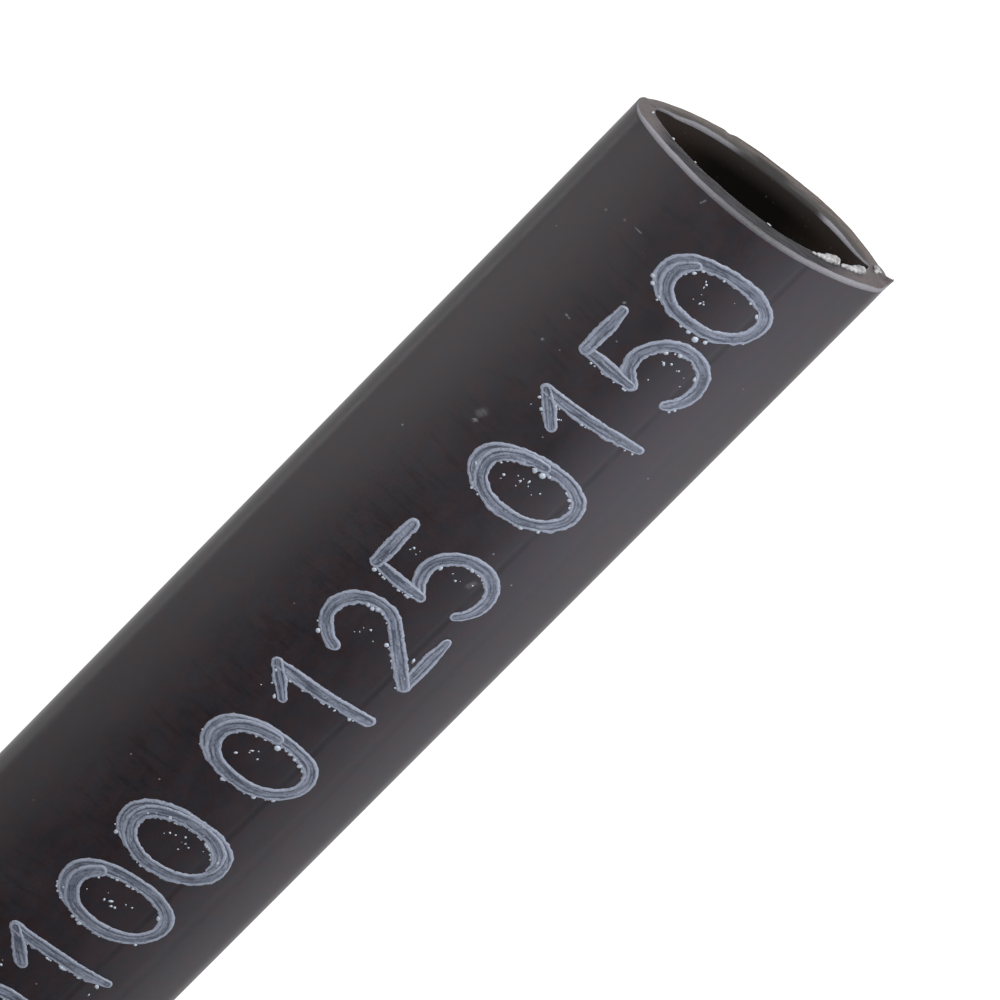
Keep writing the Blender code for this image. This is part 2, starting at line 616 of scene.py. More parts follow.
# Steps of a fold and of a broad arc, and how far from each end, in millimetres, the wall gets a ring
# of points.
FOLD_STEPS = 22
BROAD_STEPS = 96
RINGS_FROM_END = (0.3, 0.6, 1.0, 1.5, 2.2, 3.2, 5.0, 8.0, 14.0, 24.0, 40.0, 60.0)


def tube_wall(settings):
    """The middle surface of the wall: a point spun round the section's arcs, then drawn out along X."""
    section = Section(settings, settings.wall / 2)
    start_piece()
    bpy.ops.mesh.primitive_plane_add(size=MM)
    tube = bpy.context.object
    bpy.ops.object.mode_set(mode="EDIT")
    bpy.ops.mesh.select_all(action="SELECT")
    bpy.ops.mesh.merge(type="CENTER")
    below = math.pi / 2 - section.belly_angle
    above = math.pi / 2 - section.crown_angle
    start_y = section.reach + section.fold * math.cos(below)
    start_z = section.fold_height - section.fold * math.sin(below)
    bpy.ops.transform.translate(value=(-HALF_LENGTH, start_y, start_z))
    spin_arc((section.reach, section.fold_height), below + above, FOLD_STEPS)
    spin_arc((0, section.crown_centre), 2 * section.crown_angle, BROAD_STEPS)
    spin_arc((-section.reach, section.fold_height), above + below, FOLD_STEPS)
    spin_arc((0, section.belly_centre), 2 * section.belly_angle, BROAD_STEPS)
    bpy.ops.mesh.select_all(action="SELECT")
    bpy.ops.mesh.remove_doubles(threshold=0.001 * MM)
    bpy.ops.mesh.select_all(action="SELECT")
    bpy.ops.mesh.extrude_region_move(TRANSFORM_OT_translate={"value": (LENGTH, 0, 0)})
    for from_end in RINGS_FROM_END:
        for side in (-1, 1):
            bpy.ops.mesh.select_all(action="SELECT")
            place = side * (HALF_LENGTH - from_end * MM)
            bpy.ops.mesh.bisect(plane_co=(place, 0, 0), plane_no=(1, 0, 0))
    bpy.ops.mesh.select_all(action="SELECT")
    bpy.ops.mesh.normals_make_consistent(inside=False)
    in_object_mode()
    wall = tube.modifiers.new("wall", "SOLIDIFY")
    wall.thickness = settings.wall
    wall.offset = 0
    wall.use_even_offset = True
    apply_modifiers(tube)
    return tube


# The tube's finishes, in the order of its material slots.
SKIN, LINING, CUT, EDGE = range(4)
# How far from a cut the skin still moves with it.
CUT_FADE = 0.8 * MM


def is_cut(face):
    return abs(face.normal.x) > 0.9 and abs(face.calc_center_median().x) > HALF_LENGTH - 0.01 * MM


def faces_inward(face, fold_height):
    """Whether a face looks towards the middle of the bore."""
    middle = face.calc_center_median()
    return face.normal.y * middle.y + face.normal.z * (middle.z - fold_height) < 0


def on_cut_edge(edge, inner, fold_height):
    """Whether an edge lies between a cut face and the outside, or the bore."""
    cuts = [is_cut(face) for face in edge.link_faces]
    if sorted(cuts) != [False, True]:
        return False
    side = edge.link_faces[cuts.index(False)]
    return faces_inward(side, fold_height) == inner


def crown_share(place, settings):
    """How much of the full rounding the outer edge gets: all of it on the crown, little elsewhere."""
    least = settings.outer_edge_below / settings.outer_edge
    return least + (1 - least) * between(place.z - settings.belly_drop, 0.2 * MM, 1.7 * MM)


def bore_share(place, settings):
    """How much of the full rounding the inner edge gets: most of it on the belly."""
    return 0.35 + 0.65 * (1 - between(place.z, 2.0 * MM, settings.belly_drop))


def round_edges(tube, settings, inner, width, share):
    """Rounds the outer or inner edges of the cuts, by a share of the width that varies round the wall."""
    shape = bmesh.new()
    shape.from_mesh(tube.data)
    weights = [0.0] * len(shape.edges)
    for index, edge in enumerate(shape.edges):
        if on_cut_edge(edge, inner, settings.belly_drop):
            weights[index] = share((edge.verts[0].co + edge.verts[1].co) / 2, settings)
    shape.free()
    if not any(weights):
        raise RuntimeError("the edges of the cuts weren't found")
    stored = tube.data.attributes.new("bevel_weight_edge", "FLOAT", "EDGE")
    stored.data.foreach_set("value", weights)
    bevel = tube.modifiers.new("rounded_edges", "BEVEL")
    bevel.width = width
    bevel.segments = 4
    bevel.limit_method = "WEIGHT"
    bevel.use_clamp_overlap = False
    bevel.material = EDGE
    apply_modifiers(tube)
    tube.data.attributes.remove(tube.data.attributes["bevel_weight_edge"])


def lean(tube, name, strength, weigh, grain=None):
    """Moves the cuts along X by a strength, as far as weigh says, evenly or by clouds of this grain."""
    group = tube.vertex_groups.new(name=name)
    for vertex in tube.data.vertices:
        from_cut = HALF_LENGTH - abs(vertex.co.x)
        fade = max(0.0, 1.0 - from_cut / CUT_FADE)
        group.add([vertex.index], fade * weigh(vertex.co), "REPLACE")
    shift = tube.modifiers.new(name, "DISPLACE")
    shift.direction = "X"
    shift.strength = strength
    shift.vertex_group = group.name
    shift.mid_level = 0.0
    if grain:
        texture = bpy.data.textures.new(name, "CLOUDS")
        texture.noise_scale = grain
        shift.texture = texture
        shift.texture_coords = "LOCAL"
        shift.mid_level = 0.5


def belly_forward(place, settings):
    """At the open end the belly's rim stands forward, more so towards -Y."""
    if place.x < 0:
        return 0.0
    below = 1 - between(place.z, 1.6 * MM, settings.belly_drop)
    inside_folds = 1 - between(abs(place.y), 5.0 * MM, 7.5 * MM)
    return below * inside_folds * (0.35 + 0.65 * between(-place.y, 0.5 * MM, 4 * MM))


def crown_forward(place, settings):
    """At the open end the crown's outer edge stands a little forward of its inner one."""
    if place.x < 0:
        return 0.0
    outer = Section(settings, 0.0)
    depth = outer.crown - math.hypot(place.y, place.z - outer.crown_centre)
    above = between(place.z, settings.belly_drop + 0.5 * MM, settings.belly_drop + 1.6 * MM)
    return above * between(-depth, -0.6 * MM, 0)


def lip_forward(place, settings):
    """At the open end the bore's lower edge stands forward towards +Y."""
    if place.x < 0:
        return 0.0
    below = 1 - between(place.z, 2.9 * MM, settings.belly_drop + 0.3 * MM)
    depth = place.z - place.y ** 2 / (2 * Section(settings, 0.0).belly)
    return below * between(place.y, 0.3 * MM, 5.5 * MM) * between(depth, 0.4 * MM, settings.wall)


# How far the belly's rim, the crown's outer edge and the bore's lower edge stand forward at the open end.
BELLY_LEAN = 0.12 * MM
CROWN_LEAN = 0.09 * MM
LIP_LEAN = 0.30 * MM


def finish_ends(tube, settings):
    """Sorts the faces by finish, rounds the cut edges and lets the cuts stray a little from a plane."""
    height = settings.belly_drop

    def is_bore(face):
        return not is_cut(face) and faces_inward(face, height)

    edit(tube)
    for slot, wanted in ((CUT, is_cut), (LINING, is_bore)):
        pick(tube, "faces", wanted)
        tube.active_material_index = slot
        bpy.ops.object.material_slot_assign()
    in_object_mode()
    round_edges(tube, settings, False, settings.outer_edge, crown_share)
    round_edges(tube, settings, True, settings.inner_edge, bore_share)
    lean(tube, "long_waver", settings.cut_waver * 1.6, lambda place: 1.0, 3.2 * MM)
    lean(tube, "short_waver", settings.cut_waver * 0.5, lambda place: 1.0, 0.5 * MM)
    lean(tube, "belly_forward", BELLY_LEAN, lambda place: belly_forward(place, settings))
    lean(tube, "crown_forward", CROWN_LEAN, lambda place: crown_forward(place, settings))
    lean(tube, "lip_forward", LIP_LEAN, lambda place: lip_forward(place, settings))
    apply_modifiers(tube)


# Points this much farther off than the nearest one are drawn along with it.
TOUCH = 0.03 * MM


def pull(tube, across, height, reach, move):
    """Draws the open end's rim at a place by a small move that fades out within its reach."""
    edit(tube)
    target = Vector((HALF_LENGTH, across, height))
    shape = bmesh.from_edit_mesh(tube.data)
    nearest = min((vertex.co - target).length for vertex in shape.verts)
    pick(tube, "verts", lambda vertex: (vertex.co - target).length < nearest + TOUCH)
    bpy.ops.transform.translate(
        value=move,
        use_proportional_edit=True,
        proportional_edit_falloff="SHARP",
        proportional_size=reach,
    )
    in_object_mode()


# Edges that bend less than this are shaded smooth.
SMOOTH_UNDER = math.radians(38)


class HEATSHRINK_OT_model_tube(bpy.types.Operator):
    """Model the tube: its flattened wall, rounded cut edges and finishes"""

    bl_idname = "heatshrink.model_tube"
    bl_label = "Model the tube"

    def execute(self, context):
        settings = context.scene.tube
        tube = tube_wall(settings)
        for material in (
            skin_material(settings),
            lining_material(settings),
            cut_material(settings),
            edge_material(),
        ):
            tube.data.materials.append(material)
        finish_ends(tube, settings)
        fold_height = settings.belly_drop
        # Inside both folds the rim sags, and under them it stands back.
        for side in (-1, 1):
            pull(tube, side * 7.5 * MM, fold_height, 1.8 * MM, (0, 0.1 * MM, -0.45 * MM))
        pull(tube, 8.2 * MM, 2.1 * MM, 1.3 * MM, (-0.14 * MM, 0, 0))
        pull(tube, -8.1 * MM, 2.0 * MM, 1.3 * MM, (-0.10 * MM, 0, 0))
        # The spur at one fold and the nick in the belly.
        pull(tube, -HALF_WIDTH, fold_height, 0.36 * MM, (0.52 * MM, -0.10 * MM, 0))
        pull(tube, 2.9 * MM, 0.2 * MM, 0.4 * MM, (-0.08 * MM, 0, 0.02 * MM))
        select_only(tube)
        bpy.ops.object.shade_smooth_by_angle(angle=SMOOTH_UNDER)
        tube.vertex_groups.clear()
        dress(tube, "flattened_tube")
        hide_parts(NODE)
        return {"FINISHED"}


# Steps of a straight stroke and of an arc.
LINE_STEPS = 16
ARC_STEPS = 32
# Degrees from one point of a nought to the next, and where it starts.
RING_STEP = 5
RING_START = 142
# How far a nought's stroke may run on, in degrees: past one turn it lies inside its own start.
RING_TURNS = (600, 455, 560, 500)
# Seeds of the draws for the noughts' turns, the beads and the specks.
TURN_SEED = 5
BEAD_SEED = 41
SPECK_SEED = 17


def line(x0, y0, x1, y1):
    """Points of a straight stroke, in shares of a figure's width and height."""
    shares = [step / LINE_STEPS for step in range(LINE_STEPS + 1)]
    return [(x0 + (x1 - x0) * share, y0 + (y1 - y0) * share) for share in shares]


def arc(x, y, width, height, start, end):
    """Points of part of an oval, from one angle to another in degrees."""
    points = []
    for step in range(ARC_STEPS + 1):
        angle = math.radians(start + (end - start) * step / ARC_STEPS)
        points.append((x + width * math.cos(angle), y + height * math.sin(angle)))
    return points


def ring(start, turn):
    """Points of a squarish oval drawn clockwise from an angle; past one turn it runs inside itself."""
    points = []
    steps = round(turn / RING_STEP)
    for step in range(steps + 1):
        turned = turn * step / steps
        angle = math.radians(start - turned)
        second = between(turned, 290, 400)
        across = math.copysign(abs(math.cos(angle)) ** 0.94, math.cos(angle)) * (1 - 0.07 * second)
        rise = math.copysign(abs(math.sin(angle)) ** 0.96, math.sin(angle)) * (1 - 0.15 * second)
        points.append((0.5 + 0.5 * across, 0.5 + 0.5 * rise))
    return points


def stroke_shapes(figure, turn):
    """The strokes of a figure, as a plotter draws them, each a list of points in shares of its box."""
    shapes = {
        "0": [ring(RING_START, turn)],
        "1": [line(0.60, 1.0, 0.60, 0.0), line(0.60, 1.0, 0.18, 0.74)],
        "2": [
            arc(0.5, 0.70, 0.5, 0.30, 170, -32) + line(0.90, 0.52, 0.0, 0.0),
            line(0.0, 0.0, 1.0, 0.0),
        ],
        "5": [
            line(0.94, 1.0, 0.10, 1.0),
            line(0.10, 1.0, 0.06, 0.50),
            line(0.06, 0.50, 0.20, 0.58) + arc(0.48, 0.32, 0.52, 0.32, 118, -142),
        ],
        "7": [line(0.0, 1.0, 1.0, 1.0), line(1.0, 1.0, 0.62, 0.45) + line(0.60, 0.42, 0.40, 0.0)],
    }
    return shapes[figure]


# Distance from one point of a stroke's path to the next.
PATH_STEP = 0.13 * MM
# The ink from a stroke's middle to its edge: how far out, and the height over the skin in millimetres.
# It has run to the rims.
INK_ACROSS = (
    (0.0, 0.018),
    (0.16, 0.018),
    (0.32, 0.016),
    (0.46, 0.018),
    (0.58, 0.028),
    (0.72, 0.034),
    (0.86, 0.028),
    (1.0, -0.008),
)


def even_points(points, spacing):
    """The same path with points at an even spacing, straight between the given ones."""
    lengths = [(Vector(b) - Vector(a)).length for a, b in zip(points, points[1:])]
    total = sum(lengths)
    count = max(1, round(total / spacing))
    result = []
    for step in range(count + 1):
        left = total * step / count
        index = 0
        while index < len(lengths) - 1 and left > lengths[index]:
            left -= lengths[index]
            index += 1
        share = min(1.0, left / lengths[index]) if lengths[index] else 0.0
        result.append(Vector(points[index]).lerp(Vector(points[index + 1]), share))
    return result


def directions(path):
    """The unit direction of the path at each of its points."""
    before, after = path[:1] + path[:-1], path[1:] + path[-1:]
    return [(next_point - last_point).normalized() for last_point, next_point in zip(before, after)]


# Rows that round off an end of a stroke, as shares of the way from its tip to its full width.
CAP_SHARES = (0.0, 0.12, 0.3, 0.55, 0.8)
# Number of points over which a stroke thins towards each end.
THINNING_POINTS = 12


def cap_rows(point, way, own, sign, shares):
    """The rows that round off a stroke's start, with sign -1, or its end, with sign 1."""
    rows = []
    for share in shares:
        back = math.cos(share * math.pi / 2)
        half = own * math.sin(share * math.pi / 2)
        rows.append((point + way * own * back * sign, way, half, back, own))
    return rows


def stroke_rows(path, radius, thinned):
    """Rows of a stroke, whose ends are drawn thinner by their shares.

    Each row holds a point on the middle line, the way it runs, half the row's width, how far into an end
    it lies, and the stroke's own half width there.
    """
    ways = directions(path)
    last = len(path) - 1
    widths = []
    for index in range(last + 1):
        start = thinned[0] * (1 - between(index, 0, THINNING_POINTS))
        end = thinned[1] * (1 - between(last - index, 0, THINNING_POINTS))
        widths.append(radius * (1 - max(start, end)))
    rows = cap_rows(path[0], ways[0], widths[0], -1.0, CAP_SHARES)
    rows += [(point, way, width, 0.0, width) for point, way, width in zip(path, ways, widths)]
    return rows + cap_rows(path[-1], ways[-1], widths[-1], 1.0, reversed(CAP_SHARES))


def ink_height(edge):
    """Height of the ink in millimetres at a share of the way from a stroke's middle to its edge."""
    for (e0, h0), (e1, h1) in zip(INK_ACROSS, INK_ACROSS[1:]):
        if edge <= e1:
            return h0 + (h1 - h0) * (edge - e0) / (e1 - e0)
    return INK_ACROSS[-1][1]


def wavering(x, y, z, grain):
    """Smooth noise from -1 to 1 at a place, with lumps of about this size."""
    return noise.noise(Vector((x, y, z)) / grain)


def ink_stroke(section, path, radius, number):
    """One stroke of ink laid on the crown: a grid bent along its path, with ragged rims and round ends."""
    ragged = 1 + 0.3 * math.sin(number * 2.3)
    thinned = (0.16 + 0.14 * math.sin(number * 1.7), 0.22 + 0.16 * math.sin(number * 2.9))
    rows = stroke_rows(path, radius, thinned)
    across = [-share for share, _ in reversed(INK_ACROSS)] + [share for share, _ in INK_ACROSS[1:]]
    start_piece()
    counts = {"x_subdivisions": len(rows) - 1, "y_subdivisions": len(across) - 1}
    bpy.ops.mesh.primitive_grid_add(size=1, **counts)
    stroke = bpy.context.object
    mesh = stroke.data
    edges = mesh.attributes.new("ink_edge", "FLOAT", "POINT")
    places = mesh.attributes.new("ink_place", "FLOAT_VECTOR", "POINT")
    for index, vertex in enumerate(mesh.vertices):
        row = index % len(rows)
        point, way, half, back, own = rows[row]
        share = across[index // len(rows)]
        left = Vector((-way.y, way.x))
        side = left * math.copysign(1.0, share)
        edge = min(1.0, math.hypot(share * half / own, back))
        run = row * PATH_STEP
        width = 1 + 0.17 * wavering(run, number * 5 * MM, share * MM, 1.8 * MM)
        away = max(0.0, -side.x)
        shift = 0.05 * MM * wavering(run, number * 5 * MM, 9 * MM, 1.3 * MM)
        coarse = wavering(point.x, point.y, math.copysign(3 * MM, share), 0.34 * MM)
        fine = wavering(point.x, point.y, math.copysign(5 * MM, share), 0.15 * MM)
        lumpy = (0.17 + 0.22 * away) * coarse + (0.14 + 0.08 * away) * fine
        width += ragged * lumpy * max(0.0, edge - 0.35)
        flat = point + side * (abs(share) * half * width) + left * shift
        # A stroke rises along its run and with its number, so that no two share a surface where they cross.
        height = ink_height(edge) * MM + 0.030 * MM * row / len(rows) + 0.004 * MM * (number % 3)
        height += 0.006 * MM * wavering(flat.x, flat.y, 3 * MM, 0.12 * MM) * (edge < 0.97)
        height += 0.014 * MM * wavering(flat.x, flat.y, 7 * MM, 0.24 * MM) * (0.4 < edge < 0.97)
        vertex.co = section.on_crown(flat.x, flat.y, height)
        edges.data[index].value = edge
        places.data[index].vector = (run / MM, share * half / MM, number * 7.0)
    return stroke


def printed_numbers(settings):
    """The numbers to print, each with the place where its last figure ends."""
    for length in range(settings.step, round(LENGTH / MM), settings.step):
        yield f"{length:04d}", -HALF_LENGTH + length * MM - settings.mark_gap


def legend_paths(settings):
    """Each stroke of the printed line, in unrolled metres."""
    paths = []
    chance = random.Random(TURN_SEED)
    height = settings.height - settings.stroke
    width = settings.width - settings.stroke
    for number, end in printed_numbers(settings):
        for back, figure in enumerate(reversed(number)):
            left = end - settings.width + settings.stroke / 2 - back * settings.pitch
            for points in stroke_shapes(figure, chance.choice(RING_TURNS)):
                path = [(left + x * width, settings.middle + (y - 0.5) * height) for x, y in points]
                paths.append(even_points(path, PATH_STEP))
    return paths


def ink_material(settings):
    """Pale blue-grey ink: bright where it has run to a stroke's rims, thin and streaked in the middle."""
    graph = Graph(bpy.data.materials.new("pale_ink"))
    place = graph.millimetres()
    edge = graph.add("ShaderNodeAttribute", {"attribute_name": "ink_edge"}, output="Fac")
    run = graph.add("ShaderNodeAttribute", {"attribute_name": "ink_place"}, output="Vector")
    lumps = graph.noise(place, 2.6, 5.0, 0.72)
    fine = graph.noise(place, 5.6, 4.0, 0.72)
    streak = graph.noise(graph.stretched(run, (0.40, 6.5, 1.0)), 1.0, 3.0, 0.6)
    blotch = graph.noise(graph.stretched(run, (1.5, 2.6, 1.0), (0, 0, 31)), 1.0, 3.0, 0.6)
    wobbled = edge + (lumps - 0.5) * 0.62
    rim = wobbled.ramp(0.52, 0.70) * (0.80 + (fine - 0.5) * 3.0 + (blotch - 0.5) * 1.6)
    line_inside = abs(wobbled - 0.44).below(0.03, 0.12) * streak.ramp(0.38, 0.54)
    middle = wobbled.below(0.34, 0.56)
    gaps = streak.ramp(0.50, 0.59) * 0.7 + fine.ramp(0.50, 0.62) * 0.5 + blotch.ramp(0.52, 0.66) * 0.5
    bare = middle * gaps
    pooled = middle * streak.below(0.38, 0.47) * (0.4 + fine)
    nicked = edge.ramp(0.45, 0.7) * fine.ramp(0.56, 0.66) * 0.75
    thinned = edge.ramp(0.90, 1.0) * edge.below(1.02, 1.05) * 0.5
    colour = graph.mix(rim + pooled * 0.7, settings.film_colour, settings.rim_colour)
    colour = graph.mix(line_inside * 0.8 + bare + nicked + thinned, colour, settings.bare_colour)
    colour = graph.mix(edge.ramp(1.05, 1.2), colour, settings.drop_colour)
    graph.relief(fine * 0.6 + lumps * 0.4, 0.022 * MM)
    return graph.set(Base_Color=colour, Roughness=0.5)


def copies_of(model, placed):
    """A copy of the model, with its own mesh, for each matrix."""
    made = []
    for matrix in placed:
        copy = model.copy()
        copy.data = model.data.copy()
        copy.data.transform(matrix)
        bpy.context.collection.objects.link(copy)
        made.append(copy)
    return made


def joined(pieces):
    select_only(*pieces)
    bpy.ops.object.join()
    return bpy.context.object


# A drop's value of ink_edge, past a stroke's 1.
DROP_EDGE = 1.25


def drop_model(roundness):
    """A small ball that the ink's material takes for a thick drop."""
    start_piece()
    bpy.ops.mesh.primitive_ico_sphere_add(subdivisions=roundness, radius=1)
    model = bpy.context.object
    bpy.ops.object.shade_smooth()
    edges = model.data.attributes.new("ink_edge", "FLOAT", "POINT")
    edges.data.foreach_set("value", [DROP_EDGE] * len(model.data.vertices))
    model.data.attributes.new("ink_place", "FLOAT_VECTOR", "POINT")
    return model


def drop_matrix(section, flat, across, along=1.0, turn=0.0):
    """Where a drop of ink sits on the crown, flattened to less than half its width."""
    angle = flat.y / section.crown
    place = section.on_crown(flat.x, flat.y, 0.0)
    size = Matrix.Diagonal((across * along, across, across * 0.45, 1))
    turned = Matrix.Rotation(-angle, 4, "X") @ Matrix.Rotation(turn, 4, "Z")
    return Matrix.Translation(place) @ turned @ size


def far_side(way):
    """The direction across a stroke that faces away from the open end."""
    side = Vector((-way.y, way.x))
    return -side if side.x > 0 else side


def beads(paths, settings, section):
    """Beads of ink thrown on the side of each stroke that faces away from the open end."""
    chance = random.Random(BEAD_SEED)
    for path in paths:
        for before, point in zip(path, path[1:]):
            side = far_side((point - before).normalized())
            facing = -side.x
            if facing > 0.2 and chance.random() < 0.24 * facing:
                radius = (0.06 + 0.10 * chance.random() ** 2) * MM
                away = settings.stroke / 2 * (0.90 + 0.14 * chance.random())
                long = chance.uniform(0.8, 1.5)
                yield drop_matrix(section, point + side * away, radius, long, chance.uniform(-0.8, 0.8))
            elif facing > 0.5 and chance.random() < 0.008:
                radius = chance.uniform(0.13, 0.22) * MM
                yield drop_matrix(section, point + side * (settings.stroke / 2 + radius), radius)


def is_bowl(path):
    """Whether a stroke bends round on itself, as a nought's does."""
    length = sum((b - a).length for a, b in zip(path, path[1:]))
    return (path[0] - path[-1]).length < 0.65 * length


def specks(paths, settings, section):
    """Fine spray: a scatter within each figure's bowl, and a little beside the straight strokes."""
    chance = random.Random(SPECK_SEED)
    for path in paths:
        side = far_side((path[-1] - path[0]).normalized())
        if is_bowl(path):
            centre = sum(path, Vector((0, 0))) / len(path)
            count, spread = chance.choice((5, 8, 11)), Vector((0.42, 0.85)) * MM
        else:
            centre = chance.choice(path) + side * settings.stroke * 1.2
            count, spread = chance.choice((0, 1, 2, 4)), Vector((0.25, 0.25)) * MM
        for _ in range(count):
            place = centre + Vector((chance.gauss(0, spread.x), chance.gauss(0, spread.y)))
            radius = (0.035 + 0.08 * chance.random() ** 2) * MM
            long = 1 + 1.5 * chance.random() ** 3
            yield drop_matrix(section, place, radius, long, chance.uniform(-0.9, 0.9))


class HEATSHRINK_OT_print_legend(bpy.types.Operator):
    """Print the running length along the crown, with the ink's rims and stray drops"""

    bl_idname = "heatshrink.print_legend"
    bl_label = "Print the legend"

    def execute(self, context):
        settings = context.scene.legend
        section = Section(context.scene.tube, 0.0)
        paths = legend_paths(settings)
        ink = ink_material(settings)
        radius = settings.stroke / 2
        strokes = [ink_stroke(section, path, radius, number) for number, path in enumerate(paths)]
        legend = joined(strokes)
        bpy.ops.object.transform_apply(location=True, rotation=True, scale=True)
        bpy.ops.object.shade_smooth()
        dress(legend, "printed_legend", ink)

        drops = []
        for roundness, thrown in ((2, beads), (1, specks)):
            model = drop_model(roundness)
            drops += copies_of(model, thrown(paths, settings, section))
            bpy.data.objects.remove(model)
        dress(joined(drops), "ink_drops", ink)
        return {"FINISHED"}


# Darkest and lightest tone of the swarf.
SWARF_TONES = ((0.088, 0.088, 0.088), (0.190, 0.190, 0.199))


def crumb_material():
    """Pale swarf that the blade left on the edge."""
    graph = Graph(bpy.data.materials.new("pale_swarf"))
    cloud = graph.noise(graph.millimetres(), 2.4, 2.0)
    colour = graph.mix(cloud.ramp(0.3, 0.6), *SWARF_TONES)
    graph.relief(cloud, 0.02 * MM)
    return graph.set(Base_Color=colour, Roughness=0.55)


# Lumps of swarf on the upper wall's inner edge at the open end, in millimetres: place round the edge,
# height over it and distance out from the cut, then half sizes across, out and up.
SWARF = (
    (-3.95, 0.18, 0.03, 0.20, 0.10, 0.08),
    (-4.25, 0.15, 0.04, 0.24, 0.14, 0.14),
    (-4.55, 0.12, 0.05, 0.25, 0.18, 0.20),
    (-4.80, 0.09, 0.06, 0.26, 0.22, 0.27),
    (-5.05, 0.06, 0.08, 0.26, 0.24, 0.32),
    (-5.30, 0.04, 0.10, 0.26, 0.24, 0.32),
    (-5.50, 0.06, 0.12, 0.20, 0.18, 0.25),
    (-5.95, 0.16, 0.05, 0.18, 0.10, 0.12),
    (-6.20, 0.15, 0.05, 0.20, 0.12, 0.16),
    (-6.50, 0.12, 0.05, 0.20, 0.12, 0.18),
    (-6.80, 0.10, 0.07, 0.24, 0.18, 0.22),
    (-7.08, 0.06, 0.09, 0.26, 0.22, 0.28),
    (-7.33, 0.04, 0.09, 0.22, 0.20, 0.27),
    (-8.50, -0.18, 0.10, 0.19, 0.13, 0.18),
    (-8.60, -0.33, 0.12, 0.19, 0.14, 0.26),
    (-8.74, -0.16, 0.10, 0.17, 0.12, 0.15),
    (-0.80, 0.00, 0.02, 0.16, 0.06, 0.05),
    (4.60, 0.02, 0.02, 0.09, 0.05, 0.05),
    (6.35, 0.05, 0.02, 0.11, 0.06, 0.06),
    (8.22, -0.05, 0.02, 0.06, 0.05, 0.15),
)


class HEATSHRINK_OT_leave_swarf(bpy.types.Operator):
    """Leave the cut's pale swarf clinging to the inner edge of the open end"""

    bl_idname = "heatshrink.leave_swarf"
    bl_label = "Leave the swarf"

    def execute(self, context):
        tube = context.scene.tube
        inner = Section(tube, tube.wall)
        start_piece()
        bpy.ops.mesh.primitive_ico_sphere_add(subdivisions=3, radius=1)
        model = bpy.context.object
        bpy.ops.object.shade_smooth()
        placed = []
        for across, height, out, half_across, half_out, half_up in SWARF:
            place = inner.on_crown(HALF_LENGTH + out * MM, across * MM, height * MM)
            turn = Matrix.Rotation(-across * MM / inner.crown, 4, "X")
            shape = Matrix.Diagonal((half_out * MM, half_across * MM, half_up * MM, 1))
            placed.append(Matrix.Translation(place) @ turn @ shape)
        swarf = joined(copies_of(model, placed))
        bpy.data.objects.remove(model)
        texture = bpy.data.textures.new("swarf_lumps", "CLOUDS")
        texture.noise_scale = 0.30 * MM
        lumps = swarf.modifiers.new("lumps", "DISPLACE")
        lumps.texture = texture
        lumps.texture_coords = "LOCAL"
        lumps.strength = 0.13 * MM
        apply_modifiers(swarf)
        dress(swarf, "cut_swarf", crumb_material())
        return {"FINISHED"}


# Width of the table in metres.
TABLE_SIZE = 3.0


def floor_material(settings):
    """A white table that glows, as one lit from under does, so that hardly a shadow falls on it."""
    graph = Graph(bpy.data.materials.new("white_table"))
    return graph.set(
        Base_Color=(0.12, 0.12, 0.12),
        Roughness=0.8,
        Emission_Color=(1.0, 1.0, 1.0),
        Emission_Strength=settings.table_glow,
    )


def dark_room(settings):
    """A world that is white from the table up to a low height and dark over it."""
    world = bpy.data.worlds.new("dark_room")
    bpy.context.scene.world = world
    graph = Graph(world, "Background")
    height = graph.split(graph.add("ShaderNodeTexCoord", output="Generated"))[2]
    return graph.set(Color=(1.0, 1.0, 1.0), Strength=height.below(0.12, 0.38) * settings.horizon)


# Tints of the small lamps.
WARM = (1.0, 0.97, 0.97)
ROSY = (1.0, 0.97, 0.99)
BLUISH = (0.95, 0.97, 1.1)
VIOLET = (0.95, 0.96, 1.1)
# The small lamps that the skin mirrors: angle over the crown in degrees, distance and size in metres,
# power in milliwatts and tint. The close ones light the open end alone.
SIDE_LAMPS = (
    (85, 0.22, 0.03, 20, WARM),
    (65, 0.22, 0.12, 9, WARM),
    (65, 0.12, 0.08, 3.6, WARM),
    (45, 0.22, 0.12, 42, WARM),
    (45, 0.05, 0.035, 1.5, WARM),
    (28, 0.22, 0.12, 5, ROSY),
    (12, 0.05, 0.035, 1.2, ROSY),
    (-45, 0.22, 0.12, 13, BLUISH),
    (-50, 0.05, 0.035, 2.8, VIOLET),
    (-65, 0.22, 0.12, 28, VIOLET),
)
# The point that they are aimed at, by the open end.
SIDE_AIM = (0.07, 0, 0.005)
# What a small lamp's direction has along the tube, and across it: the skin mirrors it to the camera.
MIRROR_ALONG = -0.515
MIRROR_ACROSS = 0.857


def hang_lamp(name, aim, way, distance, size, power, tint=(1, 1, 1)):
    """A round soft lamp this far from the point it is aimed at."""
    data = bpy.data.lights.new(name, "AREA")
    data.shape = "DISK"
    data.size = size
    data.energy = power
    data.color = tint
    lamp = bpy.data.objects.new(name, data)
    way = Vector(way).normalized()
    lamp.location = Vector(aim) + way * distance
    lamp.rotation_euler = way.to_track_quat("Z", "Y").to_euler()
    lamp.visible_camera = False
    bpy.context.scene.collection.objects.link(lamp)


